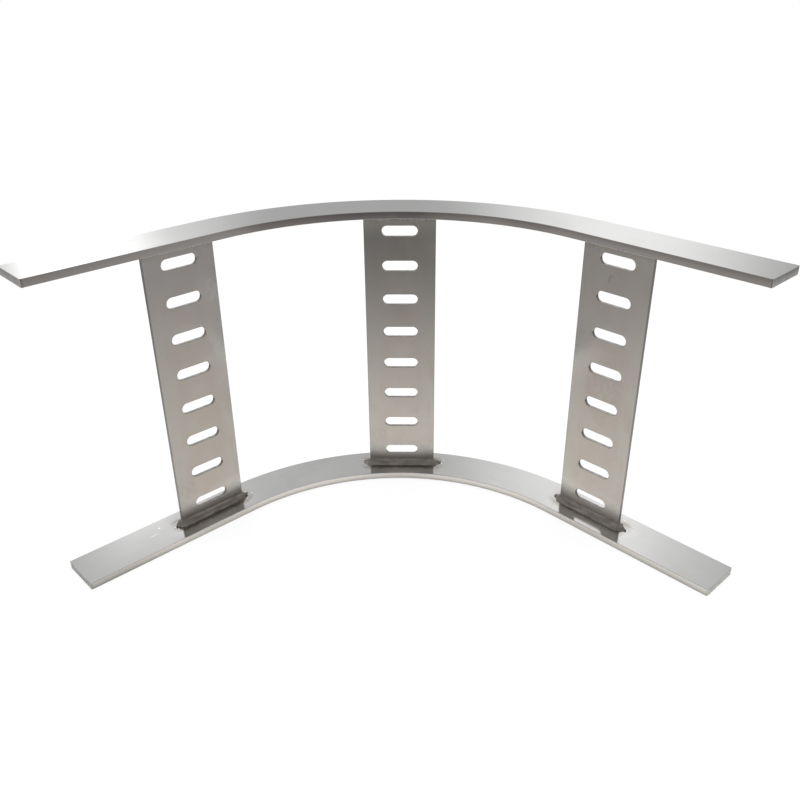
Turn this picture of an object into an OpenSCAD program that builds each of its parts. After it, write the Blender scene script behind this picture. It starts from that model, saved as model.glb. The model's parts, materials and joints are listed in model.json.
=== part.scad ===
// Bend for a flat-bar cable ladder. Two side rails are bent edgewise through a right angle
// and joined by slotted rungs, each welded all round at both ends.
// The bend stands on the outer face of its lower rail, with the hollow of the bend towards -Y.

/* [Side rails] */
// Width of the flat bar
rail_w = 38; // [32:1:65]
// Thickness of the flat bar
rail_t = 6; // [4:0.5:10]
// Radius that rolling leaves on the four long edges of the bar
rail_edge_r = 0.4; // [0.4:0.1:1.5]
// Radius filed on the corners of the sawn ends
end_corner_r = 2; // [0.5:0.1:3]
// Radius filed on the long edges of the sawn ends
end_edge_r = 0.6; // [0.2:0.1:1.5]

/* [Bend] */
// Radius of the bend at the middle of the bar's width
bend_r = 200; // [150:5:400]
// Angle between the two straight legs
bend_angle = 90; // [60:5:90]
// Straight length of rail past each end of the bend
leg_len = 152; // [100:1:300]

/* [Rungs] */
// Clear width between the side rails
clear_w = 240; // [150:10:540]
// Width of a rung along the rails
rung_w = 60; // [44:1:80]
// Thickness of a rung
rung_t = 3; // [2:0.5:5]
// Radius rolled on the long edges of a rung
rung_edge_r = 0.5; // [0.2:0.1:0.9]
// Distance from the end of the bend to the outer rungs
rung_gap = 1; // [0:0.5:20]

/* [Slots] */
// Length of a slot, ends included
slot_len = 30; // [20:1:34]
// Width of a slot
slot_w = 9; // [6:0.5:12]
// Distance from one slot to the next
slot_pitch = 30; // [24:1:40]

/* [Welds] */
// Leg of the fillet weld round each rung end
weld_leg = 5; // [3:0.5:6]

/* [Hidden] */
$fn = 96;
half_angle = bend_angle / 2;
in_r = bend_r - rail_w / 2;
// Keeps the shapes that trim a rail's end just clear of its flat faces
skin = 0.02;
// Least distance from the outer slots to the welds
slot_clear = 2;
// The slots are centred on the clear width and keep off the welds
slot_room = clear_w - slot_w - 2 * (weld_leg + slot_clear);
slot_count = 1 + floor(slot_room / slot_pitch);
slot_first = (clear_w - (slot_count - 1) * slot_pitch) / 2;
// The outer rungs stand on the straight legs, just past the bend
rung_off = rung_gap + rung_w / 2;
// Front and back limits of the bend, measured from the middle of the bar at the apex
back_y = rail_w / 2;
front_y = (in_r + end_corner_r) * cos(half_angle) - bend_r
  - (leg_len - end_corner_r) * sin(half_angle) - end_corner_r;
mid_y = (back_y + front_y) / 2;
upper_z = rail_t + clear_w;
// Centre depth of the circle that gives the weld its slightly bulged face
bulge = weld_leg;
bulge_r = sqrt(pow(weld_leg + bulge, 2) + pow(bulge, 2));

// Rectangle with round corners, centred
module round_rect(w, h, r) {
  square([w - 2 * r, h], center = true);
  square([w, h - 2 * r], center = true);
  for (x = [-1, 1], y = [-1, 1])
    translate([x * (w / 2 - r), y * (h / 2 - r)]) circle(r = r);
}

// Section of the flat bar, standing on its broad face
module bar_section() {
  translate([0, rail_t / 2]) round_rect(rail_w, rail_t, rail_edge_r);
}

// Puts its children at the middle of the bar, where the leg on the given side begins
module at_leg(side) {
  translate([0, -bend_r, 0]) rotate([0, 0, -side * half_angle]) translate([0, bend_r, 0]) children();
}

// One straight leg, with the corners and edges of its sawn end filed round
module leg(side) {
  at_leg(side) intersection() {
    rotate([90, 0, side * 90]) linear_extrude(leg_len) bar_section();
    translate([0, 0, -rail_t]) linear_extrude(3 * rail_t)
      round_rect(2 * leg_len, rail_w + skin, end_corner_r);
    translate([0, rail_w, rail_t / 2]) rotate([90, 0, 0]) linear_extrude(2 * rail_w)
      round_rect(2 * leg_len, rail_t + skin, end_edge_r);
  }
}

// A whole side rail with its lower face at Z = 0
module side_rail() {
  union() {
    translate([0, -bend_r, 0]) rotate([0, 0, 90 - half_angle])
      rotate_extrude(angle = bend_angle, $fn = 360) translate([bend_r, 0]) bar_section();
    leg(-1);
    leg(1);
  }
}

// Puts its children at the foot of a rung: side is -1, 0 or 1
module at_rung(side) {
  at_leg(side) translate([side * rung_off, 0, 0]) children();
}

// A round-ended slot, lying across the rung
module slot() {
  square([slot_len - slot_w, slot_w], center = true);
  for (x = [-1, 1]) translate([x * (slot_len - slot_w) / 2, 0]) circle(d = slot_w);
}

// A rung standing on Z = 0, its faces square to Y
module rung() {
  difference() {
    linear_extrude(clear_w) round_rect(rung_w, rung_t, rung_edge_r);
    for (i = [0 : slot_count - 1])
      translate([0, rung_t, slot_first + i * slot_pitch]) rotate([90, 0, 0]) linear_extrude(2 * rung_t) slot();
  }
}

// Section of the weld: one leg along the rail, the other up the rung, the face slightly bulged
module weld_section() {
  intersection() {
    square(weld_leg);
    translate([-bulge, -bulge]) circle(r = bulge_r);
  }
}

// A stretch of weld along +X, laid against the plane Y = 0
module weld_run(length) {
  rotate([90, 0, 90]) linear_extrude(length) weld_section();
}

// A quarter turn of weld round one long edge of a rung
module weld_turn() {
  rotate_extrude(angle = 90) translate([rung_edge_r, 0]) weld_section();
}

// The ring of weld round the foot of a rung standing on Z = 0
module weld_ring() {
  flat_w = rung_w - 2 * rung_edge_r;
  flat_t = rung_t - 2 * rung_edge_r;
  for (a = [0, 180]) rotate([0, 0, a]) {
    translate([-flat_w / 2, rung_t / 2, 0]) weld_run(flat_w);
    translate([rung_w / 2, flat_t / 2, 0]) rotate([0, 0, -90]) weld_run(flat_t);
    translate([flat_w / 2, flat_t / 2, 0]) weld_turn();
    translate([-flat_w / 2, flat_t / 2, 0]) rotate([0, 0, 90]) weld_turn();
  }
}

module lower_weld(side) {
  at_rung(side) translate([0, 0, rail_t]) weld_ring();
}

module upper_weld(side) {
  at_rung(side) translate([0, 0, upper_z]) mirror([0, 0, 1]) weld_ring();
}

// Moves the bend so that the middle of its footprint is the origin
module in_frame() {
  translate([0, -mid_y, 0]) children();
}

module side_rail_lower() {
  color([0.62, 0.61, 0.59]) in_frame() side_rail();
}

module side_rail_upper() {
  color([0.62, 0.61, 0.59]) in_frame() translate([0, 0, upper_z]) side_rail();
}

module rung_left() {
  color([0.58, 0.57, 0.55]) in_frame() at_rung(-1) translate([0, 0, rail_t]) rung();
}

module rung_centre() {
  color([0.58, 0.57, 0.55]) in_frame() at_rung(0) translate([0, 0, rail_t]) rung();
}

module rung_right() {
  color([0.58, 0.57, 0.55]) in_frame() at_rung(1) translate([0, 0, rail_t]) rung();
}

module weld_left_lower() {
  color([0.5, 0.49, 0.47]) in_frame() lower_weld(-1);
}

module weld_left_upper() {
  color([0.5, 0.49, 0.47]) in_frame() upper_weld(-1);
}

module weld_centre_lower() {
  color([0.5, 0.49, 0.47]) in_frame() lower_weld(0);
}

module weld_centre_upper() {
  color([0.5, 0.49, 0.47]) in_frame() upper_weld(0);
}

module weld_right_lower() {
  color([0.5, 0.49, 0.47]) in_frame() lower_weld(1);
}

module weld_right_upper() {
  color([0.5, 0.49, 0.47]) in_frame() upper_weld(1);
}

side_rail_lower();
side_rail_upper();
rung_left();
rung_centre();
rung_right();
weld_left_lower();
weld_left_upper();
weld_centre_lower();
weld_centre_upper();
weld_right_lower();
weld_right_upper();
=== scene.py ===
"""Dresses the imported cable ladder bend: flat-bar rails, slotted rungs, weld beads and a pale studio."""

import json
import logging
import math
import random
from contextlib import contextmanager
from dataclasses import dataclass, replace
from enum import Enum
from typing import Callable, Iterable, Iterator, Sequence, TypeAlias

import bpy
from mathutils import Matrix, Vector

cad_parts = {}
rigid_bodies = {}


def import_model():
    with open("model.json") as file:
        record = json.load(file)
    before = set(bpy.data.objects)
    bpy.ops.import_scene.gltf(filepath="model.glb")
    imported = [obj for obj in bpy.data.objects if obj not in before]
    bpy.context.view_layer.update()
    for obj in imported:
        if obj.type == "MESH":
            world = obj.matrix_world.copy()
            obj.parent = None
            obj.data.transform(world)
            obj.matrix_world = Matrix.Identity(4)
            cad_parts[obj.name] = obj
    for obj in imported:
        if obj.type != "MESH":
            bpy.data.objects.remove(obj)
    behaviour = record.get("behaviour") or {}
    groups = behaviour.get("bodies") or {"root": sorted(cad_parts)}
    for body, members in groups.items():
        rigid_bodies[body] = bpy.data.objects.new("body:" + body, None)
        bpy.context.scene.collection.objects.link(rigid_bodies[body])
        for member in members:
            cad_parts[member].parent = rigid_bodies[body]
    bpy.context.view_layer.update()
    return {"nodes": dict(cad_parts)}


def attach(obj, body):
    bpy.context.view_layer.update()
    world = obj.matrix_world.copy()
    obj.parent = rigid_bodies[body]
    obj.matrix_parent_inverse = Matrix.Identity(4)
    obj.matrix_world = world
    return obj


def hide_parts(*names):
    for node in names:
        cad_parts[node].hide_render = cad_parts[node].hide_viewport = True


LOG = logging.getLogger("cable_ladder_bend")
MM = 0.001
Pair: TypeAlias = tuple[float, float]
Triple: TypeAlias = tuple[float, float, float]
Colour: TypeAlias = Triple
# Where a value starts and stops changing, and the results there
Ramp: TypeAlias = tuple[float, float, float, float]
Value: TypeAlias = "Wire | float"
Piece: TypeAlias = bpy.types.Object
WHITE: Colour = (1.0, 1.0, 1.0)


class Side(Enum):
    """Which rung is meant, as the sign of its place along the bend."""

    LEFT = -1
    CENTRE = 0
    RIGHT = 1

    @property
    def label(self) -> str:
        """The word that node names use for this side."""
        return self.name.lower()


class Level(Enum):
    """Which of the two rails a weld or a rail belongs to."""

    LOWER = "lower"
    UPPER = "upper"


@dataclass(frozen=True)
class BendSizes:
    """Sizes of the bend in metres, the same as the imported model's."""

    rail_w: float = 38 * MM
    rail_t: float = 6 * MM
    bend_r: float = 200 * MM
    half_angle: float = math.radians(45)
    leg_len: float = 152 * MM
    end_corner_r: float = 2 * MM
    clear_w: float = 240 * MM
    rung_w: float = 60 * MM
    rung_t: float = 3 * MM
    rung_edge_r: float = 0.5 * MM
    rung_gap: float = 1 * MM
    slot_len: float = 30 * MM
    slot_w: float = 9 * MM
    slot_pitch: float = 30 * MM
    slot_count: int = 8
    weld_leg: float = 5 * MM

    @property
    def bend_y(self) -> float:
        """Y of the centre of the bend."""
        corner = self.end_corner_r
        near_r = self.bend_r - self.rail_w / 2 + corner
        reach = near_r * math.cos(self.half_angle) - (self.leg_len - corner) * math.sin(self.half_angle)
        front = reach - self.bend_r - corner
        apex = -(self.rail_w / 2 + front) / 2
        return apex - self.bend_r

    @property
    def half_bend(self) -> float:
        """Length of bar from the apex to the end of the bend."""
        return self.bend_r * self.half_angle

    @property
    def half_length(self) -> float:
        """Length of bar from the apex to a sawn end."""
        return self.half_bend + self.leg_len

    @property
    def upper_z(self) -> float:
        """Height of the upper rail's inner face."""
        return self.rail_t + self.clear_w

    @property
    def rung_off(self) -> float:
        """Length of bar from the end of the bend to the middle of an outer rung."""
        return self.rung_gap + self.rung_w / 2

    def rung_place(self, side: Side) -> Matrix:
        """Gives the placing of a rung whose own foot is at the origin, faces square to Y.

        Args:
            side: The rung that is placed.

        Returns:
            The matrix from the rung's own axes to the frame.
        """
        turn = Matrix.Rotation(-side.value * self.half_angle, 4, "Z")
        lift = Matrix.Translation((side.value * self.rung_off, self.bend_r, self.rail_t))
        return Matrix.Translation((0, self.bend_y, 0)) @ turn @ lift

    def rung_end(self, side: Side, level: Level) -> Matrix:
        """Gives the placing of what stands on a rail's inner face, round the end of a rung.

        Args:
            side: The rung.
            level: The rail, turned over for the upper one.

        Returns:
            The matrix from the end's own axes to the frame.
        """
        foot = self.rung_place(side)
        if level is Level.LOWER:
            return foot
        return foot @ Matrix.Translation((0, 0, self.clear_w)) @ Matrix.Rotation(math.pi, 4, "X")


SIZES = BendSizes()


def clear_selection() -> None:
    """Deselects every object."""
    for other in bpy.context.view_layer.objects:
        other.select_set(False)


def only(piece: Piece) -> None:
    """Makes one object the only selected one and the active one."""
    clear_selection()
    piece.select_set(True)
    bpy.context.view_layer.objects.active = piece


def apply_place() -> None:
    """Moves the place, turn and scale of the selected object into its mesh."""
    bpy.ops.object.transform_apply(location=True, rotation=True, scale=True)


@contextmanager
def editing(piece: Piece) -> Iterator[None]:
    """Keeps a piece in edit mode, all of it selected, while the block runs."""
    only(piece)
    bpy.ops.object.mode_set(mode="EDIT")
    bpy.ops.mesh.select_all(action="SELECT")
    yield
    bpy.ops.object.mode_set(mode="OBJECT")


@contextmanager
def picked(piece: Piece, domain: str, test: Callable[[Vector], bool]) -> Iterator[None]:
    """Selects vertices, edges or faces by their middle, in edit mode while the block runs.

    Args:
        piece: The object whose mesh is picked from.
        domain: VERT, EDGE or FACE.
        test: Says of a point whether the element there is wanted.
    """
    with editing(piece):
        bpy.ops.mesh.select_mode(type=domain)
        bpy.ops.mesh.select_all(action="DESELECT")
    mesh = piece.data
    if domain == "VERT":
        for vertex in mesh.vertices:
            vertex.select = test(vertex.co)
    elif domain == "EDGE":
        for edge in mesh.edges:
            start, stop = (mesh.vertices[i].co for i in edge.vertices)
            edge.select = test((start + stop) / 2)
    else:
        for face in mesh.polygons:
            face.select = test(face.center)
    bpy.ops.object.mode_set(mode="EDIT")
    yield
    bpy.ops.object.mode_set(mode="OBJECT")


def add_box(size: Triple, middle: float = 0.0) -> Piece:
    """Adds a box round the Z axis.

    Args:
        size: Lengths of its sides.
        middle: Height of its middle.

    Returns:
        The box, with its place and size in its mesh.
    """
    clear_selection()
    bpy.ops.mesh.primitive_cube_add(size=1, location=(0, 0, middle), scale=size)
    apply_place()
    return bpy.context.object


def apply_modifier(piece: Piece, kind: str, **settings: object) -> None:
    """Adds a modifier to a piece, sets it and applies it.

    Args:
        piece: The object to change.
        kind: The modifier's type.
        settings: Values of the modifier's properties.
    """
    only(piece)
    modifier = piece.modifiers.new(kind.title(), kind)
    for name, value in settings.items():
        setattr(modifier, name, value)
    bpy.ops.object.modifier_apply(modifier=modifier.name)


def remove(piece: Piece) -> None:
    """Deletes a helper object and its mesh."""
    mesh = piece.data
    bpy.data.objects.remove(piece)
    bpy.data.meshes.remove(mesh)


def tidy_faces(piece: Piece) -> None:
    """Merges doubled vertices and turns the faces outwards."""
    with editing(piece):
        bpy.ops.mesh.remove_doubles(threshold=1e-6)
        bpy.ops.mesh.normals_make_consistent(inside=False)


def cut_away(piece: Piece, tool: Piece) -> None:
    """Cuts the shape of a tool out of a piece and deletes the tool."""
    apply_modifier(piece, "BOOLEAN", operation="DIFFERENCE", solver="EXACT", object=tool)
    remove(tool)
    tidy_faces(piece)


def cut_flat(piece: Piece) -> None:
    """Cuts off what lies below Z = 0 and closes the cut."""
    with editing(piece):
        bpy.ops.mesh.bisect(plane_co=(0, 0, 0), plane_no=(0, 0, 1), use_fill=True, clear_inner=True)


def smooth(piece: Piece, degrees: float) -> None:
    """Shades a piece smooth, apart from the edges that are sharper than an angle."""
    only(piece)
    bpy.ops.object.shade_smooth_by_angle(angle=math.radians(degrees))


def settle(piece: Piece, place: Matrix, name: str) -> None:
    """Puts a piece where it belongs, moves its place into its mesh and names both.

    Args:
        piece: The object to place.
        place: Matrix from the piece's own axes to the frame.
        name: The piece's name.
    """
    only(piece)
    piece.matrix_world = place
    apply_place()
    piece.name = name
    piece.data.name = name


def tie(piece: Piece, material: bpy.types.Material, node: str | None = None) -> None:
    """Gives a finished piece its material, ties it to the frame and reports it.

    Args:
        piece: The finished piece.
        material: Its material.
        node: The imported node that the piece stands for.
    """
    piece.data.materials.clear()
    piece.data.materials.append(material)
    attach(piece, "root")
    if node is not None:
        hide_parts(node)
    LOG.info("%s: %d faces", piece.name, len(piece.data.polygons))


class Wire:
    """An output of a node, to calculate with and to link to other nodes."""

    def __init__(self, graph: "Graph", socket: bpy.types.NodeSocket) -> None:
        """Holds the output's socket and the helper of its tree."""
        self.graph = graph
        self.socket = socket

    def __add__(self, other: Value) -> "Wire":
        """Adds a value."""
        return self.graph.math("ADD", self, other)

    def __sub__(self, other: Value) -> "Wire":
        """Takes a value away."""
        return self.graph.math("SUBTRACT", self, other)

    def __rsub__(self, other: Value) -> "Wire":
        """Takes this away from a value."""
        return self.graph.math("SUBTRACT", other, self)

    def __mul__(self, other: Value) -> "Wire":
        """Multiplies by a value."""
        return self.graph.math("MULTIPLY", self, other)

    def __truediv__(self, other: Value) -> "Wire":
        """Divides by a value."""
        return self.graph.math("DIVIDE", self, other)

    def __abs__(self) -> "Wire":
        """Drops the sign."""
        return self.graph.math("ABSOLUTE", self)

    __radd__ = __add__
    __rmul__ = __mul__

    def at_least(self, least: Value) -> "Wire":
        """Keeps the value from falling below another."""
        return self.graph.math("MAXIMUM", self, least)

    def at_most(self, most: Value) -> "Wire":
        """Keeps the value from rising above another."""
        return self.graph.math("MINIMUM", self, most)

    def span(self, low: Value, high: Value, to_low: float = 0.0, to_high: float = 1.0) -> "Wire":
        """Maps the value smoothly and within limits: low gives to_low, and high gives to_high."""
        inputs = {"Value": self, "From Min": low, "From Max": high, "To Min": to_low, "To Max": to_high}
        return self.graph.wire("ShaderNodeMapRange", inputs, interpolation_type="SMOOTHSTEP")

    def noise(self, scale: float, detail: float = 2.0, rough: float = 0.5) -> "Wire":
        """Gives noise of about 0 to 1 at these coordinates, by cells per metre and by finer octaves."""
        inputs = {"Vector": self, "Scale": scale, "Detail": detail, "Roughness": rough}
        return self.graph.wire("ShaderNodeTexNoise", inputs)


class Graph:
    """Adds nodes to one shader tree and links them."""

    def __init__(self, tree: bpy.types.NodeTree) -> None:
        """Starts on a tree and empties it."""
        self.tree = tree
        tree.nodes.clear()

    def node(self, kind: str, inputs: dict | None = None, **settings: object) -> bpy.types.Node:
        """Adds one node.

        Args:
            kind: The node's type name.
            inputs: Input name or index to a wire to link or a value to set.
            settings: Values of the node's own properties.

        Returns:
            The new node.
        """
        made = self.tree.nodes.new(kind)
        for name, value in settings.items():
            setattr(made, name, value)
        for key, value in (inputs or {}).items():
            if isinstance(value, Wire):
                self.tree.links.new(value.socket, made.inputs[key])
            else:
                made.inputs[key].default_value = value
        return made

    def wires(self, kind: str, inputs: dict | None = None, **settings: object) -> dict[str, Wire]:
        """Adds one node and gives its outputs by name."""
        made = self.node(kind, inputs, **settings)
        return {socket.name: Wire(self, socket) for socket in made.outputs}

    def wire(self, kind: str, inputs: dict | None = None, key: int | str = 0, **settings: object) -> Wire:
        """Adds one node and gives the output of that name or index."""
        return Wire(self, self.node(kind, inputs, **settings).outputs[key])

    def math(self, operation: str, first: Value, second: Value = 0.0, clamp: bool = False) -> Wire:
        """Adds a Math node for one or two values; clamp keeps the result between 0 and 1."""
        return self.wire("ShaderNodeMath", {0: first, 1: second}, operation=operation, use_clamp=clamp)

    def join(self, x: Value, y: Value, z: Value = 0.0) -> Wire:
        """Combines three values into a vector."""
        return self.wire("ShaderNodeCombineXYZ", {0: x, 1: y, 2: z})

    def length(self, x: Value, y: Value) -> Wire:
        """Gives the length of a flat vector."""
        return self.wire("ShaderNodeVectorMath", {0: self.join(x, y)}, "Value", operation="LENGTH")

    def mix(self, share: Value, first: Wire | Colour, second: Wire | Colour) -> Wire:
        """Mixes two colours by the share of the second."""
        tones = [(*tone, 1.0) if isinstance(tone, tuple) else tone for tone in (first, second)]
        return self.wire("ShaderNodeMix", {0: share, 6: tones[0], 7: tones[1]}, 2, data_type="RGBA")

    def mix_shaders(self, share: Value, first: Wire, second: Wire) -> Wire:
        """Mixes two shaders by the share of the second."""
        return self.wire("ShaderNodeMixShader", {0: share, 1: first, 2: second})

    def split(self, vector: Wire) -> Iterable[Wire]:
        """Gives the X, Y and Z of a vector."""
        return self.wires("ShaderNodeSeparateXYZ", {"Vector": vector}).values()

    def axes(self, place: Matrix | None = None) -> Iterable[Wire]:
        """Gives the X, Y and Z of a point on the piece.

        Args:
            place: Placing of the piece's own axes, where the values are to be counted in those.

        Returns:
            The three values in metres.
        """
        vector = self.wire("ShaderNodeTexCoord", key="Object")
        if place is not None:
            where, turn, _ = place.decompose()
            inputs = {"Vector": vector, "Location": tuple(where), "Rotation": tuple(turn.to_euler())}
            vector = self.wire("ShaderNodeMapping", inputs, vector_type="TEXTURE")
        return self.split(vector)

    def metal(self, colour: Wire, rough: Wire, height: Wire, metallic: float = 1.0) -> None:
        """Adds a bumped metal shader and the output.

        Args:
            colour: Colour over the surface.
            rough: Roughness over the surface.
            height: Height of the bumps in metres.
            metallic: How metallic the surface is.
        """
        normal = self.wire("ShaderNodeBump", {"Height": height, "Strength": 1.0, "Distance": 1.0})
        inputs = {"Base Color": colour, "Metallic": metallic, "Roughness": rough, "Normal": normal}
        shader = self.wire("ShaderNodeBsdfPrincipled", inputs)
        self.node("ShaderNodeOutputMaterial", {"Surface": shader})


def new_material(name: str) -> tuple[bpy.types.Material, Graph]:
    """Makes an empty node material and the helper for its tree."""
    material = bpy.data.materials.new(name)
    material.use_nodes = True
    return material, Graph(material.node_tree)


class SharedGroup:
    """A shader node group with named sockets, made once and placed in many materials."""

    def __init__(self, name: str, *inputs: str) -> None:
        """Makes the group with its inputs.

        Args:
            name: The group's name.
            inputs: Names of its inputs, all single values.
        """
        self.tree = bpy.data.node_groups.new(name, "ShaderNodeTree")
        for label in inputs:
            self.tree.interface.new_socket(label, in_out="INPUT", socket_type="NodeSocketFloat")
        self.graph = Graph(self.tree)
        source = self.graph.wires("NodeGroupInput")
        self.values = [source[label] for label in inputs]

    def give(self, **outputs: Wire) -> "SharedGroup":
        """Makes the outputs and feeds them.

        Args:
            outputs: Name of each output, with spaces as underscores, to the wire that feeds it.

        Returns:
            The finished group.
        """
        wires = {label.replace("_", " "): wire for label, wire in outputs.items()}
        for label, wire in wires.items():
            kind = "NodeSocketColor" if wire.socket.type == "RGBA" else "NodeSocketFloat"
            self.tree.interface.new_socket(label, in_out="OUTPUT", socket_type=kind)
        self.graph.node("NodeGroupOutput", wires)
        return self

    def place(self, graph: Graph, **inputs: Value) -> dict[str, Wire]:
        """Places the group in a material and gives its outputs by name."""
        return graph.wires("ShaderNodeGroup", inputs, node_tree=self.tree)


class SharedEffects:
    """The node groups that more than one finish uses."""

    TINT_REACH = 18 * MM
    # Heat tint and painted shade: colour bands from the bead outwards, darkest at the bead
    TINT_AND_SHADE_BANDS = (
        (0.0, (0.24, 0.23, 0.215)),
        (0.34, (0.29, 0.28, 0.275)),
        (0.52, (0.38, 0.355, 0.32)),
        (0.74, (0.60, 0.58, 0.54)),
        (1.0, (0.66, 0.64, 0.61)),
    )
    # Lean, stretch along the bar and cells per metre of each set of scratches
    SCRATCH_SETS = ((0.12, 0.016, 1500.0), (-0.55, 0.03, 1100.0))

    def __init__(self) -> None:
        """Builds every group."""
        self.bar_path = self._bar_path()
        self.rolled_grain = self._rolled_grain()
        self.smudges = self._smudges()
        self.scratches = self._scratches()
        self.heat_tint_and_shade = self._heat_tint_and_shade()
        self.cut_face = self._cut_face()
        self.ring_mark = self._ring_mark()

    def _bar_path(self) -> SharedGroup:
        """Turns X and Y into the way along the bent bar, the place across it and the distance from a rung."""
        group = SharedGroup("bar_path", "X", "Y")
        graph = group.graph
        x, y = group.values
        reach, depth = abs(x), y - SIZES.bend_y
        cosine, sine = math.cos(SIZES.half_angle), math.sin(SIZES.half_angle)
        past_bend = reach * cosine - depth * sine
        off_bend = reach * sine + depth * cosine
        on_leg = graph.math("GREATER_THAN", past_bend, 0.0)
        on_arc = 1.0 - on_leg
        angle = graph.math("ARCTAN2", reach, depth)
        along = angle * SIZES.bend_r * on_arc + (past_bend + SIZES.half_bend) * on_leg
        across = graph.length(reach, depth) * on_arc + off_bend * on_leg - SIZES.bend_r
        to_rung = along.at_most(abs(along - (SIZES.half_bend + SIZES.rung_off)))
        gap_along = (to_rung - SIZES.rung_w / 2).at_least(0.0)
        gap_across = (abs(across) - SIZES.rung_t / 2).at_least(0.0)
        signed = along * graph.math("SIGN", x)
        return group.give(Along=signed, Across=across, Weld_Distance=graph.length(gap_along, gap_across))

    def _rolled_grain(self) -> SharedGroup:
        """Fine lines that rolling leaves along a bar or strip, and the slow waves of its flat face."""
        group = SharedGroup("rolled_grain", "Along", "Across", "Up", "Streaks", "Seed")
        along, across, up, streaks, seed = group.values
        lines = group.graph.join(along * 0.02, across, up)
        height = lines.noise(1900.0, 2.0, 0.6) * 0.6 + lines.noise(320.0, 1.0, 0.5) * streaks
        return group.give(Height=height, Wave=group.graph.join(along, across, seed).noise(24.0, 1.0, 0.4))

    def _smudges(self) -> SharedGroup:
        """Soft cloudy marks left by hands and by cleaning."""
        group = SharedGroup("smudges", "Along", "Across", "Up", "Seed")
        along, across, up, seed = group.values
        shifted = up + seed
        cloud = group.graph.join(along, across, shifted).noise(26.0, 4.0, 0.62).span(0.48, 0.72)
        wipe = group.graph.join(along * 0.25, across, shifted).noise(140.0, 3.0, 0.55).span(0.5, 0.75)
        return group.give(Mask=group.graph.math("ADD", cloud, wipe * 0.45, clamp=True))

    def _scratches(self) -> SharedGroup:
        """Sparse hairline scratches, most of them along the bar, and white specks that stand in for painted
        glints.
        """
        group = SharedGroup("scratches", "Along", "Across", "Up", "Seed")
        along, across, up, seed = group.values
        masks = []
        for lean, stretch, count in self.SCRATCH_SETS:
            line = group.graph.join(along * stretch, across + along * lean, up + seed)
            masks.append(line.noise(count, 0.0, 0.0).span(0.77, 0.86))
        spot = group.graph.join(along, across, seed)
        patch = spot.noise(34.0, 2.0, 0.5).span(0.5, 0.62)
        glints = spot.noise(620.0, 2.0, 0.55).span(0.63, 0.70)
        return group.give(Mask=masks[0].at_least(masks[1]) * patch, Specks=glints)

    def _heat_tint_and_shade(self) -> SharedGroup:
        """Grey and brown bands that darken towards a bead: partly heat tint from the welding, partly painted
        shade where the parts meet.
        """
        group = SharedGroup("heat_tint_and_shade", "Distance", "Waver")
        distance, waver = group.values
        share = group.graph.math("DIVIDE", distance + waver, self.TINT_REACH, clamp=True)
        ramp = group.graph.node("ShaderNodeValToRGB", {"Fac": share})
        elements = ramp.color_ramp.elements
        while len(elements) < len(self.TINT_AND_SHADE_BANDS):
            elements.new(0.5)
        for element, (position, colour) in zip(elements, self.TINT_AND_SHADE_BANDS):
            element.position = position
            element.color = (*colour, 1.0)
        return group.give(Tint=Wire(group.graph, ramp.outputs["Color"]), Mask=share.span(1.0, 0.5))

    def _cut_face(self) -> SharedGroup:
        """Fine ridges that a saw or a punch leaves on a cut face, running along its length."""
        group = SharedGroup("cut_face", "Along", "Through", "Seed")
        along, through, seed = group.values
        ridges = group.graph.join(along * 0.06, through, seed).noise(2400.0, 2.0, 0.6)
        patch = group.graph.join(along, through, seed).noise(190.0, 2.0, 0.5).span(0.36, 0.66)
        return group.give(Height=ridges, Patch=patch)

    def _ring_mark(self) -> SharedGroup:
        """A worn, broken ring round a point, or a cloudy spot where the radius is nothing."""
        group = SharedGroup("ring_mark", "Along", "Across", "Radius", "Width", "Gap")
        along, across, radius, width, gap = group.values
        mark = abs(group.graph.length(along, across) - radius).span(width, width * 0.35)
        worn = group.graph.join(along, across).noise(260.0, 2.0, 0.5).span(0.36, 0.56, 0.25, 1.0)
        open_side = (across - along * 0.7).span(-0.6 * MM, 1.2 * MM) * gap
        return group.give(Mask=mark * worn * (1.0 - open_side))


@dataclass(frozen=True)
class SurfaceMarks:
    """A steel material in the making: its tree, the shared groups, and where a point lies on the piece."""

    graph: Graph
    effects: SharedEffects
    along: Wire
    across: Wire
    through: Wire
    weld_distance: Wire
    foot_distance: Wire
    heat_share: Value
    edge_share: Wire
    # Share of painted shade on the side faces and sawn ends
    edge_painted_shade: Value
    cut_share: Wire
    cut_along: Wire
    pull: Wire


@dataclass(frozen=True)
class SoftSpot:
    """One soft ring or spot on a strip or bar, by its place along and across it: a mark on the steel, or a
    painted glint or sheen.
    """

    along: float
    across: float
    radius: float
    width: float
    stretch: float
    share: float
    tone: Colour
    gap: float = 0.0
    shown: Pair = (-0.2 * MM, -1.0 * MM)

    def lay(self, marks: SurfaceMarks, colour: Wire) -> Wire:
        """Lays the mark over a colour.

        Args:
            marks: Where on the piece everything is.
            colour: The colour under the mark.

        Returns:
            The colour with the mark.
        """
        place = {"Along": (marks.along - self.along) / self.stretch, "Across": marks.across - self.across}
        shape = {"Radius": self.radius, "Width": self.width, "Gap": self.gap}
        ring = marks.effects.ring_mark.place(marks.graph, **place, **shape)
        front = marks.through.span(*self.shown, 0.0, self.share)
        return marks.graph.mix(ring["Mask"] * front, colour, self.tone)


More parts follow.
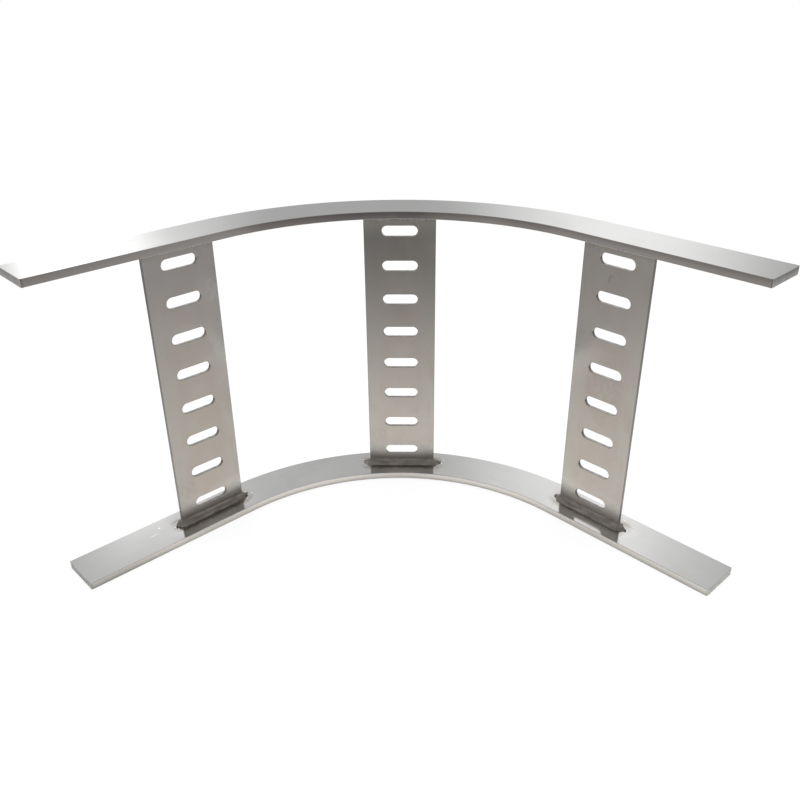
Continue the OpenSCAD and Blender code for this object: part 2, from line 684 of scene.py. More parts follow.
@dataclass(frozen=True)
class SteelFinish:
    """How one kind of piece's stainless steel looks."""

    name: str
    colour: Colour
    worn_colour: Colour
    roughness: float
    grain_roughness: float
    foot_roughness: float
    grain_bump: float
    streaks: float
    wave_bump: float
    tint_share: float
    scratch_share: float
    edge_colour: Colour
    # Colour of the painted shade on the side faces
    edge_painted_shade_colour: Colour
    cut_colour: Colour
    cut_roughness: float
    cut_bump: float
    seed: float
    # Painted highlight: share of the white glint specks near the welds
    glint_speck_share: float = 0.0
    undercut: float = 0.0
    stain_share: float = 0.0
    stain_colour: Colour = (0.572, 0.522, 0.482)
    stain_reach: Pair = (27 * MM, 12 * MM)
    smudge_share: float = 0.55
    smudge_roughness: float = 0.06
    tint_waver: float = 5 * MM
    scratch_colour: Colour = (0.78, 0.77, 0.75)
    scratch_roughness: float = 0.12
    scratch_bump: float = 0.000006
    glint_speck_colour: Colour = (0.95, 0.95, 0.94)
    glint_speck_reach: Pair = (17 * MM, 7 * MM)
    foot_reach: Pair = (32 * MM, 8 * MM)
    toe: float = 5.2 * MM
    toe_line: Pair = (0.8 * MM, 0.2 * MM)
    toe_colour: Colour = (0.16, 0.15, 0.14)
    cut_patches: float = 0.5
    # Share and colour of the painted shade on the sawn ends
    cut_painted_shade_share: float = 0.4
    cut_painted_shade_colour: Colour = (0.1, 0.1, 0.1)

    def _stain(self, marks: SurfaceMarks, spot: Wire) -> Wire:
        """Gives the strength of the cloudy brown stain that pickling leaves down the middle of a strip."""
        middle = abs(marks.across).span(*self.stain_reach, 0.0, self.stain_share)
        return middle * spot.noise(55.0, 3.0, 0.6).span(0.36, 0.62, 0.3, 1.0)

    def _undercut(self, marks: SurfaceMarks, spot: Wire) -> Wire:
        """Gives the darkness of the broken line that runs along the toe of a weld."""
        line = abs(marks.weld_distance - self.toe).span(*self.toe_line) * marks.heat_share
        return line * spot.noise(230.0, 2.0, 0.5).span(0.5, 0.62, 0.0, self.undercut)

    def dress(self, marks: SurfaceMarks, soft_spots: Sequence[SoftSpot]) -> None:
        """Builds the finish from grain, smudges, scratches, heat tint with painted shade, painted glint
        specks, cut faces, single marks (some of them painted glints or sheen) and painted edge shade.

        Args:
            marks: Where on the piece everything is.
            soft_spots: Marks, painted glints and painted sheen that only this piece has.
        """
        graph, effects = marks.graph, marks.effects
        where = {"Along": marks.along, "Across": marks.across, "Up": marks.through, "Seed": self.seed}
        grain = effects.rolled_grain.place(graph, **where, Streaks=self.streaks)
        smudge = effects.smudges.place(graph, **where)["Mask"]
        scratches = effects.scratches.place(graph, **where)
        scratch = scratches["Mask"]
        near_weld = marks.weld_distance.span(*self.glint_speck_reach) * marks.heat_share
        near_foot = marks.foot_distance.span(*self.foot_reach) * marks.heat_share
        spot = graph.join(marks.along, marks.across, marks.through)
        waver = spot.noise(160.0) * self.tint_waver
        tint = effects.heat_tint_and_shade.place(graph, Distance=marks.weld_distance, Waver=waver)
        cut = effects.cut_face.place(graph, Along=marks.cut_along, Through=marks.through, Seed=self.seed)
        colour = graph.mix(smudge * self.smudge_share, self.colour, self.worn_colour)
        # Heat tint and painted shade: darker towards each weld
        colour = graph.mix(tint["Mask"] * marks.heat_share * self.tint_share, colour, tint["Tint"])
        if self.stain_share > 0:
            colour = graph.mix(self._stain(marks, spot), colour, self.stain_colour)
        colour = graph.mix(scratch * self.scratch_share, colour, self.scratch_colour)
        # Painted highlight: white specks near the welds stand in for glints
        colour = graph.mix(scratches["Specks"] * near_weld * self.glint_speck_share, colour, self.glint_speck_colour)
        if self.undercut > 0:
            colour = graph.mix(self._undercut(marks, spot), colour, self.toe_colour)
        for soft_spot in soft_spots:
            colour = soft_spot.lay(marks, colour)
        # Painted shade: where its share is up, the side faces and sawn ends are painted darker
        edge_tone = graph.mix(marks.edge_painted_shade, self.edge_colour, self.edge_painted_shade_colour)
        colour = graph.mix(marks.edge_share, colour, edge_tone)
        cut_tone = graph.mix(cut["Patch"] * self.cut_patches, self.cut_colour, self.colour)
        cut_tone = graph.mix(marks.edge_painted_shade * self.cut_painted_shade_share, cut_tone, self.cut_painted_shade_colour)
        colour = graph.mix(marks.cut_share, colour, cut_tone)
        rough = (grain["Height"] - 0.5) * self.grain_roughness + self.roughness
        rough += smudge * self.smudge_roughness + scratch * self.scratch_roughness
        rough += near_foot * self.foot_roughness + marks.cut_share * self.cut_roughness
        height = grain["Height"] * self.grain_bump + grain["Wave"] * self.wave_bump
        height += cut["Height"] * marks.cut_share * self.cut_bump - scratch * self.scratch_bump
        graph.metal(colour, rough, height + marks.pull)


RAIL_STEEL = SteelFinish(
    name="rail_bright_rolled_steel",
    colour=(0.612, 0.61, 0.606),
    worn_colour=(0.56, 0.555, 0.545),
    roughness=0.10,
    grain_roughness=0.06,
    foot_roughness=0.06,
    grain_bump=0.0000022,
    streaks=0.12,
    wave_bump=0.00003,
    tint_share=0.72,
    scratch_share=0.35,
    glint_speck_share=0.8,
    edge_colour=(0.60, 0.565, 0.545),
    edge_painted_shade_colour=(0.43, 0.40, 0.385),
    cut_colour=(0.80, 0.785, 0.77),
    cut_roughness=0.4,
    cut_bump=0.000016,
    seed=0.37,
)
RUNG_STEEL = SteelFinish(
    name="rung_satin_strip_steel",
    colour=(0.58, 0.563, 0.535),
    worn_colour=(0.53, 0.487, 0.445),
    roughness=0.17,
    grain_roughness=0.08,
    foot_roughness=0.17,
    grain_bump=0.0000030,
    streaks=0.4,
    wave_bump=0.00008,
    tint_share=0.3,
    scratch_share=0.2,
    undercut=0.4,
    edge_colour=(0.26, 0.255, 0.245),
    edge_painted_shade_colour=(0.26, 0.255, 0.245),
    cut_colour=(0.30, 0.29, 0.28),
    cut_roughness=0.2,
    cut_bump=0.00001,
    seed=1.91,
)
INNER_FACE: Pair = (0.8 * SIZES.rail_t, 0.95 * SIZES.rail_t)
RAIL_PAINTED_GLINTS: dict[Level, tuple[SoftSpot, ...]] = {
    Level.LOWER: (
        # Painted highlights: a white spot and a white streak just past the left end of the left rung's lower
        # weld
        SoftSpot(-235.5 * MM, 8.5 * MM, 0.0, 1.7 * MM, 0.9, 1.0, (1.0, 1.0, 0.99), shown=INNER_FACE),
        SoftSpot(-243 * MM, 2.1 * MM, 0.0, 1.0 * MM, 6.0, 0.7, (0.9, 0.9, 0.89), shown=INNER_FACE),
    ),
    Level.UPPER: (),
}
RUNG_STAINS: dict[Side, float] = {Side.LEFT: 0.9, Side.CENTRE: 0.5, Side.RIGHT: 0.75}
RUNG_MARKS_AND_SHEEN: dict[Side, tuple[SoftSpot, ...]] = {
    Side.LEFT: (
        # Painted highlight: a light sheen patch high on the left rung by its right edge; the other entries
        # are rings, streaks and darker or tinted patches
        SoftSpot(199 * MM, 23 * MM, 0.0, 16 * MM, 1.0, 0.4, (0.74, 0.735, 0.74)),
        SoftSpot(172 * MM, 11 * MM, 0.0, 1.1 * MM, 5.0, 0.5, (0.78, 0.77, 0.76)),
        SoftSpot(30 * MM, -25 * MM, 0.0, 17 * MM, 1.0, 0.3, (0.43, 0.41, 0.39)),
        SoftSpot(222 * MM, 0.0, 0.0, 50 * MM, 1.0, 0.5, (0.565, 0.55, 0.565)),
    ),
    Side.CENTRE: (SoftSpot(29 * MM, -24 * MM, 0.0, 15 * MM, 1.0, 0.28, (0.44, 0.42, 0.40)),),
    Side.RIGHT: (
        SoftSpot(210 * MM, -3 * MM, 2.3 * MM, 1.3 * MM, 1.3, 0.4, (0.33, 0.315, 0.30), 0.9),
        SoftSpot(120 * MM, 1 * MM, 0.0, 24 * MM, 1.7, 0.42, (0.46, 0.425, 0.39)),
    ),
}


@dataclass
class SideRail:
    """One bent flat bar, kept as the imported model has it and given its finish."""

    level: Level
    tip: Ramp = (70 * MM, 150 * MM, 0.024, 0.0024)
    left_tip: Ramp = (-90 * MM, -150 * MM, 0.0, 0.045)
    edge_round: float = 0.4 * MM
    # Painted highlight: share of the light line on the lower rail's rounded top edges
    painted_edge_highlight: float = 0.8
    left_painted_shade_fade: Ramp = (-170 * MM, -90 * MM, 0.4, 1.0)
    middle_heat: Ramp = (3 * MM, 8 * MM, 0.45, 1.0)
    dimple: Ramp = (2 * MM, 18 * MM, 0.0, 0.1 * MM)

    def dress(self, nodes: dict[str, Piece], effects: SharedEffects) -> None:
        """Gives the bar bright rolled steel whose grain follows the bend.

        Args:
            nodes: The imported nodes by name.
            effects: The shared node groups.
        """
        material, graph = new_material(f"{RAIL_STEEL.name}_{self.level.value}")
        x, y, z = graph.axes()
        path = effects.bar_path.place(graph, X=x, Y=y)
        along, across, distance = path["Along"], path["Across"], path["Weld Distance"]
        off_middle = abs(across)
        thick, edge, end = SIZES.rail_t, SIZES.rail_w / 2, SIZES.half_length
        cut = abs(along).span(end - 0.7 * MM, end - 0.3 * MM)
        tipped = along.span(*self.tip)
        if self.level is Level.LOWER:
            edge_painted_shade = 0.0
            inner = z.span(0.6 * thick, 0.95 * thick)
            # Painted highlight: the lower rail's rounded top edges take the sawn ends' light colour as a
            # bright line
            on_edge = off_middle.span(edge - self.edge_round, edge - 0.8 * self.edge_round)
            on_top = z.span(thick - self.edge_round, thick - 0.8 * self.edge_round)
            cut = cut.at_least(on_edge * on_top * self.painted_edge_highlight)
            tipped += along.span(*self.left_tip)
        else:
            foot = SIZES.upper_z
            inner = z.span(foot + 0.4 * thick, foot + 0.05 * thick)
            # Painted shade: the upper rail's side faces and sawn ends are painted darker towards the top,
            # less so at the left end
            edge_painted_shade = z.span(foot + 0.25 * thick, foot + thick) * along.span(*self.left_painted_shade_fade)
        marks = SurfaceMarks(
            graph=graph,
            effects=effects,
            along=along,
            across=across,
            through=z,
            weld_distance=distance,
            foot_distance=distance,
            heat_share=inner * off_middle.span(*self.middle_heat),
            edge_share=off_middle.span(edge - 0.4 * MM, edge - 0.1 * MM),
            edge_painted_shade=edge_painted_shade,
            cut_share=cut,
            cut_along=across,
            pull=distance.span(*self.dimple) - across * tipped,
        )
        RAIL_STEEL.dress(marks, RAIL_PAINTED_GLINTS[self.level])
        node = f"side_rail_{self.level.value}"
        nodes[node].material_slots[0].material = material
        LOG.info("%s: bright rolled steel", node)


@dataclass
class SlottedStrip:
    """The strip that all the rungs are copied from."""

    rim_r: float = 0.3 * MM
    edge_steps: int = 3
    slot_steps: int = 40

    def _blank(self) -> Piece:
        """Makes the strip with its long edges rounded.

        Returns:
            The strip, standing on the origin.
        """
        middle = SIZES.clear_w / 2
        strip = add_box((SIZES.rung_w, SIZES.rung_t, SIZES.clear_w), middle)
        with picked(strip, "EDGE", lambda at: abs(at.z - middle) < MM and abs(at.x) > MM and abs(at.y) > MM):
            bpy.ops.mesh.bevel(
                offset=SIZES.rung_edge_r, segments=self.edge_steps, affect="EDGES", clamp_overlap=True
            )
        return strip

    def _slot_tool(self) -> Piece:
        """Makes the row of round-ended punches that cut the slots.

        Returns:
            The punches as one object.
        """
        half = (SIZES.slot_len - SIZES.slot_w) / 2
        clear_selection()
        bpy.ops.mesh.primitive_cylinder_add(
            vertices=self.slot_steps, radius=SIZES.slot_w / 2, depth=4 * SIZES.rung_t,
            rotation=(math.pi / 2, 0, 0),
        )
        tool = bpy.context.object
        apply_place()
        with editing(tool):
            bpy.ops.mesh.bisect(plane_co=(0, 0, 0), plane_no=(1, 0, 0), clear_inner=True)
            bpy.ops.mesh.select_all(action="SELECT")
            bpy.ops.transform.translate(value=(half, 0, 0))
        with picked(tool, "EDGE", lambda at: abs(at.x - half) < 1e-6):
            bpy.ops.mesh.extrude_edges_move(TRANSFORM_OT_translate={"value": (-half, 0, 0)})
        apply_modifier(tool, "MIRROR", use_axis=(True, False, False), merge_threshold=1e-5)
        tidy_faces(tool)
        apply_modifier(
            tool, "ARRAY", count=SIZES.slot_count, use_relative_offset=False, use_constant_offset=True,
            constant_offset_displace=(0, 0, SIZES.slot_pitch),
        )
        first = (SIZES.clear_w - (SIZES.slot_count - 1) * SIZES.slot_pitch) / 2
        settle(tool, Matrix.Translation((0, 0, first)), "slot_punches")
        return tool

    def build(self) -> Piece:
        """Cuts the slots and eases their rims.

        Returns:
            The finished strip, standing on the origin.
        """
        strip = self._blank()
        cut_away(strip, self._slot_tool())
        apply_modifier(
            strip, "BEVEL", width=self.rim_r, segments=2, limit_method="ANGLE", angle_limit=math.radians(45),
            harden_normals=False,
        )
        tidy_faces(strip)
        smooth(strip, 50)
        apply_modifier(strip, "WEIGHTED_NORMAL", keep_sharp=True, weight=100)
        return strip


@dataclass
class Rung:
    """One slotted strip that stands between the rails."""

    side: Side
    pull: Ramp = (22 * MM, 3 * MM, 0.0, 0.06 * MM)
    head_shift: float = 11 * MM

    def build(self, pattern: Piece) -> Piece:
        """Copies the strip with a mesh of its own and stands the copy in its place.

        Args:
            pattern: The strip to copy.

        Returns:
            The finished rung.
        """
        only(pattern)
        bpy.ops.object.duplicate(linked=False)
        strip = bpy.context.object
        settle(strip, SIZES.rung_place(self.side), f"slotted_rung_{self.side.label}")
        return strip

    def dress(self, strip: Piece, effects: SharedEffects) -> None:
        """Gives the strip satin steel whose grain runs from rail to rail.

        Args:
            strip: The finished rung.
            effects: The shared node groups.
        """
        material, graph = new_material(f"{RUNG_STEEL.name}_{self.side.label}")
        x, y, z = graph.axes(SIZES.rung_place(self.side))
        to_top = SIZES.clear_w - z
        distance = z.at_most(to_top)
        face, half = SIZES.rung_t / 2, SIZES.rung_w / 2
        marks = SurfaceMarks(
            graph=graph,
            effects=effects,
            along=z,
            across=x,
            through=y,
            weld_distance=distance,
            foot_distance=z.at_most(to_top + self.head_shift),
            heat_share=1.0,
            edge_share=abs(x).span(half - 0.5 * MM, half - 0.1 * MM),
            edge_painted_shade=0.0,
            cut_share=abs(y).span(0.93 * face, 0.83 * face),
            cut_along=x,
            pull=distance.span(*self.pull),
        )
        replace(RUNG_STEEL, stain_share=RUNG_STAINS[self.side]).dress(marks, RUNG_MARKS_AND_SHEEN[self.side])
        tie(strip, material, f"rung_{self.side.label}")


@dataclass(frozen=True)
class WeldFinish:
    """How the weld metal looks: duller than the bars, with soft heat colours."""

    name: str
    bright: Colour = (0.49, 0.445, 0.40)
    dull: Colour = (0.32, 0.29, 0.26)
    blue: Colour = (0.375, 0.352, 0.335)
    metallic: float = 0.85
    roughness: float = 0.3
    # Painted shade: a factor that darkens all the weld colours, set for each rung
    gain: float = 1.0
    side: Side | None = None
    stretch: float = 0.22
    pit_depth: float = 0.000002

    def make(self) -> bpy.types.Material:
        """Builds the material, with streaks along the bead where it belongs to one rung.

        Returns:
            The weld metal's material.
        """
        material, graph = new_material(self.name)
        x, y, z = graph.axes(None if self.side is None else SIZES.rung_place(self.side))
        place = graph.join(x, y, z)
        patch = graph.join(x * self.stretch, y, z).noise(380.0, 3.0, 0.6).span(0.38, 0.66)
        oxide = place.noise(90.0, 2.0, 0.5).span(0.5, 0.72)
        pits = place.noise(2600.0, 2.0, 0.6)
        tones = (self.bright, self.dull, self.blue)
        bright, dull, blue = (tuple(self.gain * part for part in tone) for tone in tones)
        colour = graph.mix(oxide * 0.5, graph.mix(patch, bright, dull), blue)
        rough = patch * 0.12 + pits * 0.08 + self.roughness
        graph.metal(colour, rough, pits * self.pit_depth, self.metallic)
        return material


# Painted shade: how much each rung's weld metal is darkened
WELD_SHADE_GAINS: dict[Side, float] = {Side.LEFT: 0.68, Side.CENTRE: 0.82, Side.RIGHT: 0.70}
TOE_PULLS: dict[tuple[Side, Level], Pair] = {
    (Side.LEFT, Level.LOWER): (0.7 * MM, 2.6 * MM),
    (Side.CENTRE, Level.LOWER): (0.7 * MM, 0.7 * MM),
    (Side.RIGHT, Level.LOWER): (0.8 * MM, 0.3 * MM),
}


@dataclass
class WeldBead:
    """The fillet weld round one end of a rung: a sloped body with pointed ends and the ripples of its run."""

    side: Side
    level: Level
    leg: float = 0.96 * SIZES.weld_leg
    depth: float = 1 * MM
    toe_shift: Pair = (-0.5 * MM, 0.3 * MM)
    ear_reach: Pair = (5.8 * MM, 7.6 * MM)
    ear_tip: Triple = (1, 0.18, 0.26)
    ripple_pitch: float = 2.1 * MM
    ripple_half: Triple = (1.9 * MM, 3.3 * MM, 0.6 * MM)
    ripple_proud: Pair = (0.0, 0.11 * MM)
    ripple_tilt: float = math.radians(4)
    lumps: int = 6
    lump_form: Triple = (1.2, 0.9, 0.8)
    voxel: float = 0.36 * MM

    @property
    def label(self) -> str:
        """The words that tell this weld from the others."""
        return f"{self.side.label}_{self.level.value}"

    @property
    def toe_pull(self) -> Pair:
        """How far the toe is drawn in at each end."""
        return TOE_PULLS.get((self.side, self.level), (0.0, 0.0))

    def _body(self, chance: random.Random) -> Piece:
        """Makes the sloped body that fills the corner and runs out in a point at each end.

        Args:
            chance: Source of this bead's own unevenness.

        Returns:
            The body, reaching a little below the rail's face.
        """
        bottom = -0.9 * self.depth
        body = add_box((SIZES.rung_w, SIZES.rung_t, self.leg + self.depth), (self.leg - self.depth) / 2)
        wide = (SIZES.rung_t + 2 * (self.leg + self.depth)) / SIZES.rung_t
        with picked(body, "FACE", lambda at: at.z < bottom):
            bpy.ops.transform.resize(value=(1, wide, 1), center_override=(0, 0, -self.depth))
        for end, pull in zip((-1, 1), self.toe_pull):
            for face in (-1, 1):
                shift = chance.uniform(*self.toe_shift) - pull
                with picked(body, "VERT", lambda at: end * at.x > 0 and face * at.y > 0 and at.z < bottom):
                    bpy.ops.transform.translate(value=(0, face * shift, 0))
        for end in (-1, 1):
            reach = chance.uniform(*self.ear_reach)
            with picked(body, "FACE", lambda at: end * at.x > 0.499 * SIZES.rung_w):
                bpy.ops.mesh.extrude_region_move(TRANSFORM_OT_translate={"value": (end * reach, 0, 0)})
                bpy.ops.transform.resize(value=self.ear_tip, center_override=(0, 0, -self.depth))
        return body

    def _drops(self, chance: random.Random) -> Iterator[tuple[Matrix, Triple]]:
        """Gives the placing and half sizes of each drop of metal that froze on the body.

        Args:
            chance: Source of this bead's own unevenness.

        Yields:
            Placing and half sizes of one drop.
        """
        slope = Matrix.Rotation(math.pi / 4, 4, "X") @ Matrix.Rotation(self.ripple_tilt, 4, "Y")
        count = round(SIZES.rung_w / self.ripple_pitch)
        for half_turn in (0, math.pi):
            turn = Matrix.Rotation(half_turn, 4, "Z")
            for index in range(count + 1):
                along = SIZES.rung_w * (index / count - 0.5) + chance.uniform(-0.4, 0.4) * MM
                sunk = self.ripple_half[2] - chance.uniform(*self.ripple_proud)
                out = self.leg / 2 - sunk * math.sqrt(0.5) + chance.uniform(-0.1, 0.1) * MM
                share = index / count if half_turn == 0 else 1 - index / count
                drawn = (1 - share) * self.toe_pull[0] + share * self.toe_pull[1]
                middle = (along, -SIZES.rung_t / 2 - out + drawn / 2, out)
                yield turn @ Matrix.Translation(middle) @ slope, self.ripple_half
        for end in (-1, 1):
            for _ in range(self.lumps):
                share = chance.uniform(0.1, 1.1)
                out = SIZES.rung_w / 2 + share * self.ear_reach[0]
                aside = chance.uniform(-3.0, 3.0) * (1.2 - share) * MM
                middle = (end * out, aside, chance.uniform(0.2, 1.2) * MM)
                size = chance.uniform(0.7, 1.3) * MM
                place = Matrix.Translation(middle) @ Matrix.Rotation(chance.uniform(-0.8, 0.8), 4, "Z")
                yield place, tuple(part * size for part in self.lump_form)

    def build(self) -> Piece:
        """Melts the drops and the body into one bead and trims it to the rung and the rail.

        Returns:
            The finished bead.
        """
        chance = random.Random(101 + 7 * self.side.value + (40 if self.level is Level.UPPER else 0))
        bead = self._body(chance)
        with editing(bead):
            for place, half in self._drops(chance):
                where, turn, _ = place.decompose()
                bpy.ops.mesh.primitive_ico_sphere_add(
                    subdivisions=3, radius=1, location=where, rotation=turn.to_euler(), scale=half
                )
        apply_modifier(bead, "REMESH", mode="VOXEL", voxel_size=self.voxel)
        apply_modifier(bead, "SMOOTH", factor=0.5, iterations=6)
        cut_flat(bead)
        cut_away(bead, add_box((SIZES.rung_w, SIZES.rung_t, SIZES.rung_w)))
        smooth(bead, 48)
        settle(bead, SIZES.rung_end(self.side, self.level), f"weld_bead_{self.label}")
        return bead

    def dress(self, bead: Piece, material: bpy.types.Material) -> None:
        """Gives the bead its metal and ties it to the frame."""
        tie(bead, material, f"weld_{self.label}")


@dataclass
class Spatter:
    """Small drops of weld metal that stuck to the rail round one end of a rung."""

    side: Side
    level: Level
    count: int = 12
    radius: Pair = (0.25 * MM, 0.8 * MM)
    past: Pair = (4.5 * MM, 10 * MM)
    beside: float = 4 * MM
    hung: int = 12
    below: Pair = (4.9 * MM, 6.4 * MM)
    form: Triple = (1.15, 1.0, 0.75)

    def _spots(self) -> Iterator[tuple[Triple, float]]:
        """Gives the drops on the rail, and those on the rung's front under the upper rail.

        Yields:
            Place in the rung end's own axes, and radius.
        """
        chance = random.Random(501 + 11 * self.side.value + (60 if self.level is Level.UPPER else 0))
        for _ in range(self.count):
            along = chance.choice((-1, 1)) * (SIZES.rung_w / 2 + chance.uniform(*self.past))
            across = chance.uniform(-1, 1) * self.beside
            size = chance.uniform(0, 1) ** 2 * (self.radius[1] - self.radius[0]) + self.radius[0]
            yield (along, across, 0.1 * size), size
        if self.level is Level.UPPER:
            for _ in range(self.hung):
                along = chance.uniform(-0.46, 0.46) * SIZES.rung_w
                size = 0.5 * chance.uniform(*self.radius)
                yield (along, SIZES.rung_t / 2, chance.uniform(*self.below)), size

    def build(self) -> Piece:
        """Makes the drops as low domes that sit on the rail's face.

        Returns:
            All the drops as one piece.
        """
        clear_selection()
        drops = None
        for where, size in self._spots():
            bpy.ops.mesh.primitive_ico_sphere_add(
                subdivisions=2, radius=size, location=where, scale=self.form
            )
            if drops is None:
                drops = bpy.context.object
                apply_place()
                bpy.ops.object.mode_set(mode="EDIT")
        bpy.ops.object.mode_set(mode="OBJECT")
        cut_flat(drops)
        tidy_faces(drops)
        smooth(drops, 60)
        name = f"weld_spatter_{self.side.label}_{self.level.value}"
        settle(drops, SIZES.rung_end(self.side, self.level), name)
        return drops

    def dress(self, drops: Piece, material: bpy.types.Material) -> None:
        """Gives the drops their metal and ties them to the frame."""
        tie(drops, material)


@dataclass(frozen=True)
class SoftPanel:
    """A soft patch of light in the surroundings, or a dark flag where its strength is below zero.

    Its place and size are in degrees as the object sees it, with the azimuth from +Y towards +X.
    """

    azimuth: float
    elevation: float
    half_width: float
    half_height: float
    soft_width: float
    soft_height: float
    strength: float

    def glow(self, azimuth: Wire, elevation: Wire) -> Wire:
        """Gives the panel's light in every direction.

        Args:
            azimuth: Azimuth of the direction in degrees.
            elevation: Elevation of the direction in degrees.

        Returns:
            The light that the panel adds.
        """
        inputs = {0: azimuth - self.azimuth, 1: 180.0, 2: -180.0}
        sideways = abs(azimuth.graph.wire("ShaderNodeMath", inputs, operation="WRAP"))
        upright = abs(elevation - self.elevation)
        wide = sideways.span(self.half_width + self.soft_width, self.half_width)
        high = upright.span(self.half_height + self.soft_height, self.half_height)
        return wide * high * self.strength


@dataclass
class Studio:
    """White floor and backdrop, an overhead soft light and the surroundings that the steel mirrors.

    The ramps and bands of the table and the room are in degrees of azimuth or elevation.
    """

    panels: tuple[SoftPanel, ...] = (
        SoftPanel(-24.4, 8, 0.1, 12, 7, 12, 1.2),
        SoftPanel(-26, 10, 6, 8, 10, 10, 0.46),
        SoftPanel(-14, 30, 3, 10, 6, 10, 0.06),
        SoftPanel(-27, 42, 5, 6, 14, 14, 0.08),
        SoftPanel(14.1, 12, 0.7, 14, 14, 26, 0.68),
        SoftPanel(16.4, 35, 0.5, 3, 3.2, 6, 0.14),
        SoftPanel(0, 40, 60, 10, 40, 14, 0.13),
        SoftPanel(0, 66, 60, 10, 40, 14, 0.25),
        SoftPanel(180, 14, 60, 8, 40, 8, 0.4),
        SoftPanel(180, 25, 60, 5, 40, 14, 0.06),
        SoftPanel(-100, 40, 20, 8, 25, 12, 0.12),
        SoftPanel(-107, 27, 14, 6, 18, 10, 0.14),
        SoftPanel(-150, -14, 10, 8, 12, 10, 0.06),
        SoftPanel(-107, -32, 20, 4, 15, 6, 0.07),
        SoftPanel(-130, -14, 6, 8, 14, 10, 0.06),
        SoftPanel(107, -22, 8, 4, 10, 4, 0.04),
        SoftPanel(-30, 17, 1, 5, 3, 6, -0.42),
        SoftPanel(28, 17, 3, 5, 5.5, 6, -0.06),
    )
    near_table: Ramp = (100.0, 175.0, 0.76, 0.92)
    far_table: Ramp = (103.0, 124.0, 0.375, 0.24)
    far_dimming: Ramp = (130.0, 175.0, 0.0, 0.075)
    far_band: Pair = (-33.0, -15.0)
    side_bands: tuple[Pair, Pair] = ((66.0, 80.0), (100.0, 92.0))
    side_dimming: float = 0.75
    below_dimming: Ramp = (-65.0, -42.0, 0.45, 1.0)
    room: Ramp = (40.0, 120.0, 0.515, 0.22)
    horizon: Pair = (-8.0, 3.0)
    table_tint: Colour = (1.0, 0.962, 0.908)
    tint_band: Pair = (-16.0, -28.0)
    floor_r: float = 1.3
    floor_z: float = -0.2 * MM
    floor_fade: Pair = (0.45 * floor_r, 0.98 * floor_r)
    floor_tone: Colour = (0.9, 0.9, 0.9)
    mirrored_tone: Colour = (0.98, 0.99, 0.965)
    mirrored_reach: Pair = (6 * MM, 30 * MM)
    # Painted contact shadow: the floor as the steel mirrors it is darker close to the rail
    painted_contact_shadow_tone: Colour = (0.70, 0.71, 0.69)
    contact_reach: float = 8 * MM
    # Painted shade: the mirrored floor is dimmer towards the leg ends and past them
    painted_leg_shades: tuple[Ramp, Ramp] = ((-215 * MM, -290 * MM, 1.0, 0.62), (180 * MM, 290 * MM, 1.0, 0.85))
    painted_end_shade: Ramp = (-2 * MM, 2 * MM, 1.0, 0.75)
    shadow_lift: float = 0.85
    light_size: float = 2.4
    light_height: float = 2.0
    light_power: float = 58.0

    def build_floor(self, effects: SharedEffects) -> None:
        """Lays a pale disc that fades into the backdrop; the steel mirrors only the strip beside the rail,
        which has a painted contact shadow and painted shade towards the leg ends and past them.

        Args:
            effects: The shared node groups.
        """
        clear_selection()
        place = (0, 0, self.floor_z)
        bpy.ops.mesh.primitive_circle_add(vertices=96, radius=self.floor_r, fill_type="NGON", location=place)
        floor = bpy.context.object
        floor.name = "studio_floor"
        apply_place()
        material, graph = new_material("studio_paper")
        x, y, _ = graph.axes()
        path = effects.bar_path.place(graph, X=x, Y=y)
        beyond = abs(path["Along"]) - SIZES.half_length
        gap = (abs(path["Across"]) - SIZES.rail_w / 2).at_least(beyond)
        rays = graph.wires("ShaderNodeLightPath")
        mirrored = rays["Is Glossy Ray"]
        tone = graph.mix(gap.span(0.0, self.contact_reach), self.painted_contact_shadow_tone, self.mirrored_tone)
        strength = beyond.span(*self.painted_end_shade)
        for leg_shade in self.painted_leg_shades:
            strength *= path["Along"].span(*leg_shade)
        tone = graph.wire("ShaderNodeVectorMath", {0: tone, "Scale": strength}, operation="SCALE")
        tone = graph.mix(mirrored, self.floor_tone, tone)
        paper = graph.wire("ShaderNodeBsdfDiffuse", {"Color": tone})
        glow = graph.wire("ShaderNodeEmission", {"Color": (*WHITE, 1.0), "Strength": 1.0})
        lit = graph.mix_shaders(rays["Is Camera Ray"] * self.shadow_lift, paper, glow)
        fade = graph.length(x, y).span(*self.floor_fade)
        clear_share = fade.at_least(gap.span(*self.mirrored_reach) * mirrored)
        both = graph.mix_shaders(clear_share, lit, graph.wire("ShaderNodeBsdfTransparent"))
        graph.node("ShaderNodeOutputMaterial", {"Surface": both})
        floor.data.materials.append(material)

    def build_overhead(self) -> None:
        """Hangs a wide soft light above the object for the floor and its faint shadows."""
        data = bpy.data.lights.new("overhead_softbox", "AREA")
        data.size = self.light_size
        data.energy = self.light_power
        lamp = bpy.data.objects.new("overhead_softbox", data)
        lamp.location = (0, 0, self.light_height)
        lamp.visible_glossy = False
        lamp.visible_camera = False
        bpy.context.scene.collection.objects.link(lamp)

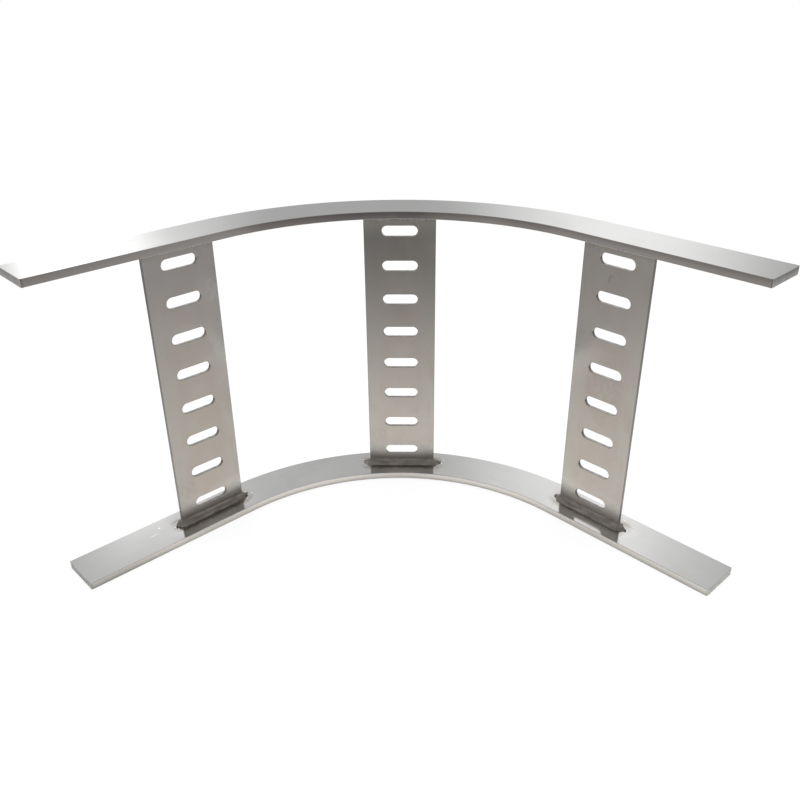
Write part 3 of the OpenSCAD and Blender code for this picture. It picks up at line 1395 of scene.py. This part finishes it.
    def build_surroundings(self) -> None:
        """Surrounds the object with a pale table, a dim front and soft panels at the back."""
        world = bpy.data.worlds.new("studio_surroundings")
        bpy.context.scene.world = world
        world.use_nodes = True
        graph = Graph(world.node_tree)
        x, y, z = graph.split(graph.wire("ShaderNodeTexCoord", key="Generated"))
        azimuth = graph.math("DEGREES", graph.math("ARCTAN2", x, y))
        elevation = graph.math("DEGREES", graph.math("ARCSINE", z))
        turned = abs(azimuth)
        farness = elevation.span(*self.far_band)
        far_table = turned.span(*self.far_table) - turned.span(*self.far_dimming)
        table = turned.span(*self.near_table) * (1.0 - farness) + far_table * farness
        beside = turned.span(*self.side_bands[0]) * turned.span(*self.side_bands[1])
        table *= 1.0 - beside * farness * self.side_dimming
        table *= elevation.span(*self.below_dimming)
        above = elevation.span(*self.horizon)
        level = table * (1.0 - above) + turned.span(*self.room) * above
        for panel in self.panels:
            level += panel.glow(azimuth, elevation)
        tint = graph.mix(elevation.span(*self.tint_band), WHITE, self.table_tint)
        seen = graph.wire("ShaderNodeBackground", {"Color": tint, "Strength": level})
        backdrop = graph.wire("ShaderNodeBackground", {"Color": (*WHITE, 1.0), "Strength": 1.0})
        to_camera = graph.wire("ShaderNodeLightPath", key="Is Camera Ray")
        both = graph.mix_shaders(to_camera, seen, backdrop)
        graph.node("ShaderNodeOutputWorld", {"Surface": both})

    def build(self, effects: SharedEffects) -> None:
        """Builds the floor, the overhead light and the surroundings."""
        self.build_floor(effects)
        self.build_overhead()
        self.build_surroundings()


@dataclass
class PhotoCamera:
    """The camera at the photograph's viewing angle."""

    position: Triple = (0.02008, -0.58895, 0.42483)
    focal_px: float = 824.7
    image_px: float = 800.0
    sensor: float = 36.0
    yaw: float = math.radians(-1.828)
    pitch: float = math.radians(27.757)
    roll: float = math.radians(-0.614)

    def build(self) -> None:
        """Makes the camera and uses it for the scene."""
        data = bpy.data.cameras.new("photo_camera")
        data.sensor_fit = "HORIZONTAL"
        data.sensor_width = self.sensor
        data.lens = self.focal_px * self.sensor / self.image_px
        data.clip_start = 0.01
        camera = bpy.data.objects.new("photo_camera", data)
        bpy.context.scene.collection.objects.link(camera)
        ahead = Vector((math.sin(self.yaw), math.cos(self.yaw), 0))
        forward = math.cos(self.pitch) * ahead - math.sin(self.pitch) * Vector((0, 0, 1))
        level_right = Vector((ahead.y, -ahead.x, 0))
        level_up = level_right.cross(forward)
        right = math.cos(self.roll) * level_right + math.sin(self.roll) * level_up
        up = math.cos(self.roll) * level_up - math.sin(self.roll) * level_right
        axes = Matrix((right, up, -forward)).transposed().to_4x4()
        camera.matrix_world = Matrix.Translation(self.position) @ axes
        bpy.context.scene.camera = camera


def main() -> None:
    """Builds the camera, the studio and every piece, and logs each piece as it is finished."""
    logging.basicConfig(level=logging.INFO, format="%(name)s: %(message)s")
    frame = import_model()
    bpy.context.scene.view_settings.view_transform = "Standard"
    PhotoCamera().build()
    effects = SharedEffects()
    Studio().build(effects)
    for level in Level:
        SideRail(level).dress(frame["nodes"], effects)
    pattern = SlottedStrip().build()
    for side in Side:
        rung = Rung(side)
        rung.dress(rung.build(pattern), effects)
    remove(pattern)
    # Painted highlight: the spatter drops are real, but their near-white, mostly non-metallic colour makes
    # the overhead light show them as white glints
    glint_drop_tones = ((0.95, 0.95, 0.93), (0.8, 0.79, 0.77), (0.7, 0.69, 0.68))
    glint_drop_metal = WeldFinish("weld_spatter_glint_steel", *glint_drop_tones, metallic=0.25).make()
    for side in Side:
        weld_metal = WeldFinish(f"weld_bead_steel_{side.label}", gain=WELD_SHADE_GAINS[side], side=side).make()
        for level in Level:
            weld = WeldBead(side, level)
            weld.dress(weld.build(), weld_metal)
            spatter = Spatter(side, level)
            spatter.dress(spatter.build(), glint_drop_metal)


if __name__ == "__main__":
    main()
